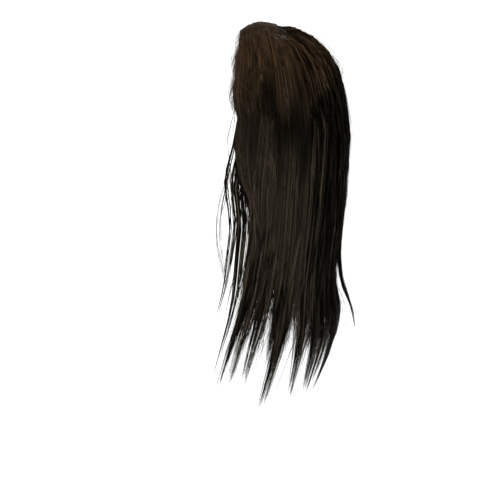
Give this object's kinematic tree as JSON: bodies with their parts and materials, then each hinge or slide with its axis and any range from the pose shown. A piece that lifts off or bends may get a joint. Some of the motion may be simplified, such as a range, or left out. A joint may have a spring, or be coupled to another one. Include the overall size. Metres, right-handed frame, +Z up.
{
  "type": "u-part wig",
  "caption": "Long straight dark brown wig on a net cap that is open in a U along the top of the head, with snap clips beside the opening.",
  "frame": {"origin": "The highest point of the head that the cap sits on, in the middle of the U-shaped opening.", "axes": "+Z up. The wearer faces -Y and their left side is at +X."},
  "size_m": [0.1781, 0.1829, 0.4797],
  "materials": {
    "cap_net": "matt dark brown stretch net",
    "hair": "dark brown straight hair with a soft sheen",
    "clip_steel": "bronze lacquered spring steel"
  },
  "bodies": {
    "root": {"cap": "cap_net", "clip_left": "clip_steel", "clip_right": "clip_steel", "hair_left": "hair", "hair_back": "hair", "hair_right": "hair", "hair_nape": "hair"}
  },
  "joints": []
}
